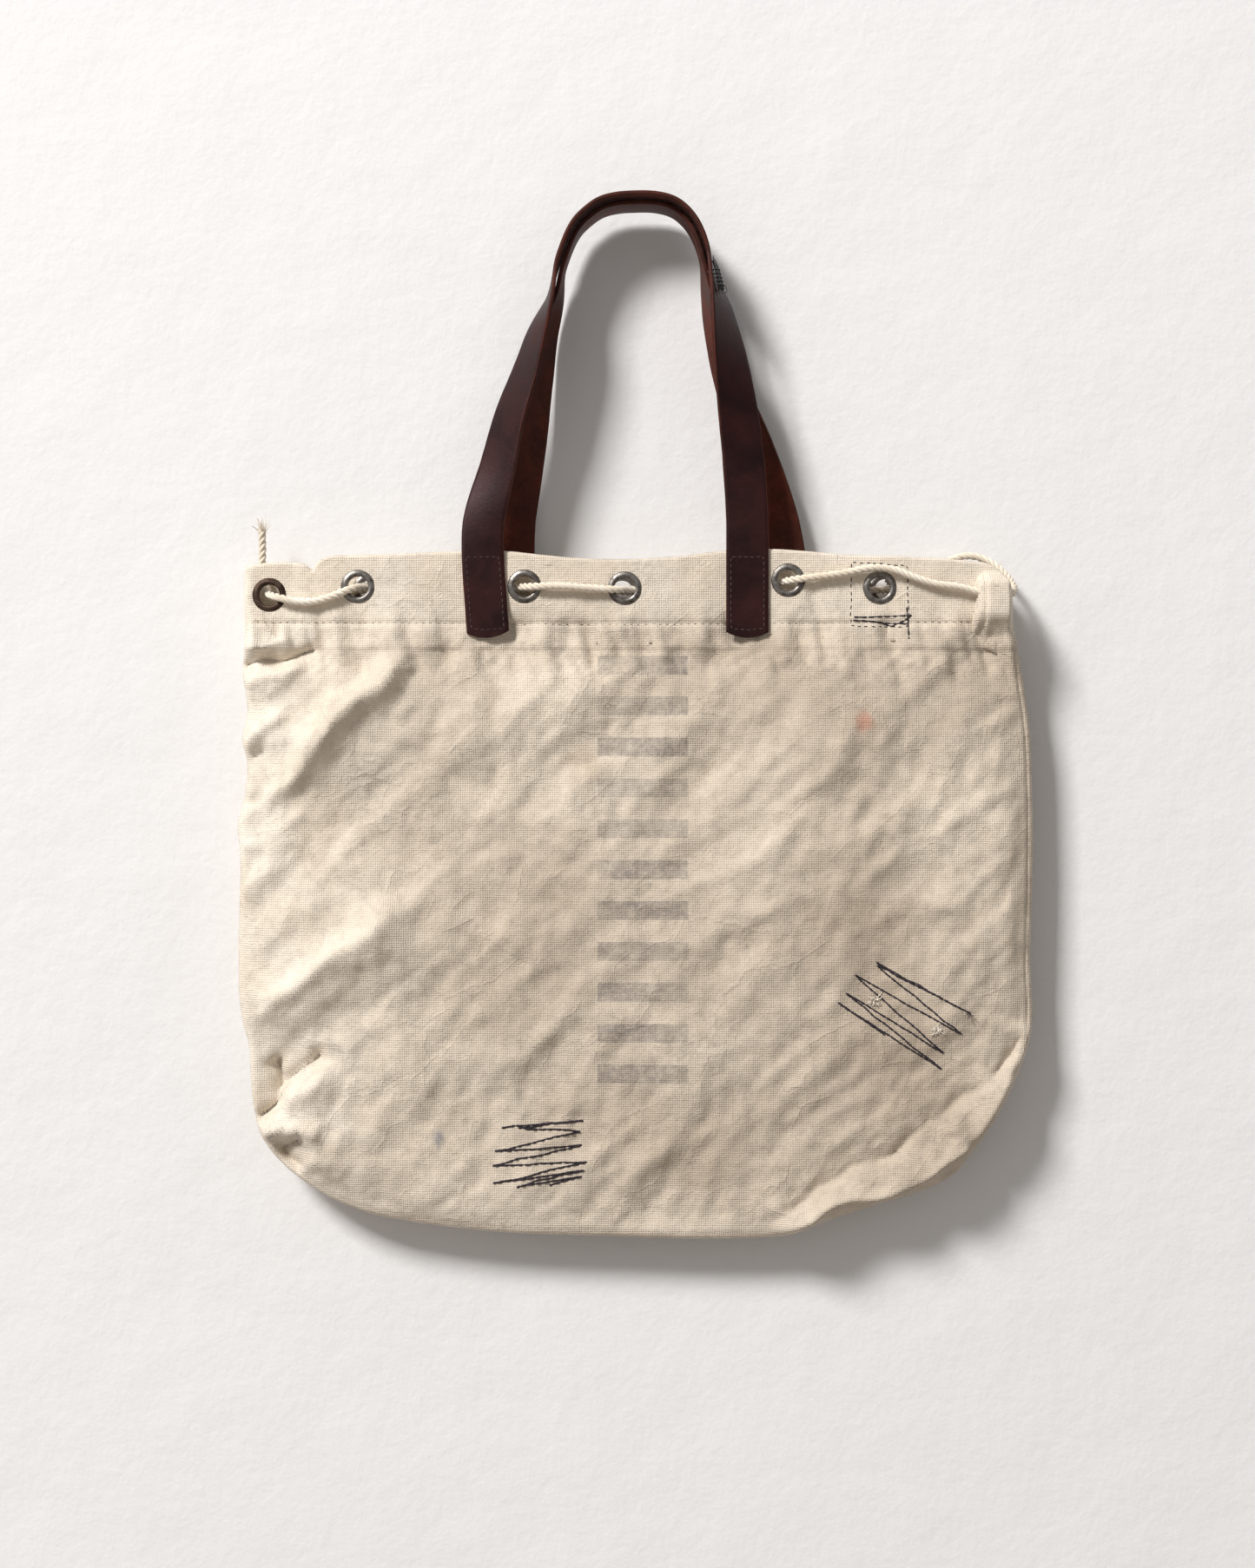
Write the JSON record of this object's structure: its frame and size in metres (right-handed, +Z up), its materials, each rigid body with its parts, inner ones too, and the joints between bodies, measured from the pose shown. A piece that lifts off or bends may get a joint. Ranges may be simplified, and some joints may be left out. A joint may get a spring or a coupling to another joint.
{
  "type": "mail sack tote",
  "caption": "Flat hanging canvas mail sack with two leather strap handles, grommets and a threaded cotton drawstring.",
  "frame": {"origin": "underside of the two handle arches, midway between them, where the sack hangs", "axes": "+X the sack's right seen from the front, -Y its front, +Z up"},
  "size_m": [0.4841, 0.0478, 0.6291],
  "materials": {
    "canvas": "worn heavy cotton duck, off-white, stained",
    "patch_canvas": "older cotton duck, unbleached",
    "leather": "dark brown waxed strap leather",
    "black_thread": "waxed black thread",
    "darning_thread": "dark purple-black mending thread",
    "cotton_thread": "beige cotton thread",
    "cotton_rope": "cream laid cotton rope, soiled",
    "zinc": "dull zinc-plated steel",
    "dark_zinc": "dark brown patina"
  },
  "bodies": {
    "sack": {"back_grommet_1": "zinc", "back_grommet_2": "zinc", "back_grommet_3": "zinc", "back_grommet_4": "zinc", "back_grommet_5": "zinc", "back_grommet_6": "zinc", "back_hem": "canvas", "back_hem_stitching": "cotton_thread", "back_left_tab": "leather", "back_left_tab_stitching": "black_thread", "back_panel": "canvas", "back_right_tab": "leather", "back_right_tab_stitching": "black_thread", "back_washer_1": "zinc", "back_washer_2": "zinc", "back_washer_3": "zinc", "back_washer_4": "zinc", "back_washer_5": "zinc", "back_washer_6": "zinc", "drawstring": "cotton_rope", "front_grommet_1": "dark_zinc", "front_grommet_2": "zinc", "front_grommet_3": "zinc", "front_grommet_4": "zinc", "front_grommet_5": "zinc", "front_grommet_6": "zinc", "front_hem": "canvas", "front_hem_stitching": "cotton_thread", "front_left_tab": "leather", "front_left_tab_stitching": "black_thread", "front_panel": "canvas", "front_right_tab": "leather", "front_right_tab_stitching": "black_thread", "front_washer_1": "zinc", "front_washer_2": "zinc", "front_washer_3": "zinc", "front_washer_4": "zinc", "front_washer_5": "zinc", "front_washer_6": "zinc", "grommet_patch": "patch_canvas", "grommet_patch_stitching": "darning_thread", "left_hem_fold": "canvas", "lower_darn_patch": "patch_canvas", "lower_darn_thread": "darning_thread", "right_hem_seam": "canvas", "side_darn_patch": "patch_canvas", "side_darn_thread": "darning_thread"},
    "front_handle": {"front_grip_tie": "black_thread", "front_handle": "leather"},
    "back_handle": {"back_handle": "leather"}
  },
  "joints": [
    {"name": "front_handle_fold", "type": "hinge", "parent": "sack", "child": "front_handle", "pos_m": [0, -0.015, -0.2116], "axis": [1, 0, 0], "range_deg": [0, 165]},
    {"name": "back_handle_fold", "type": "hinge", "parent": "sack", "child": "back_handle", "pos_m": [0, 0.015, -0.2116], "axis": [-1, 0, 0], "range_deg": [0, 165]}
  ]
}
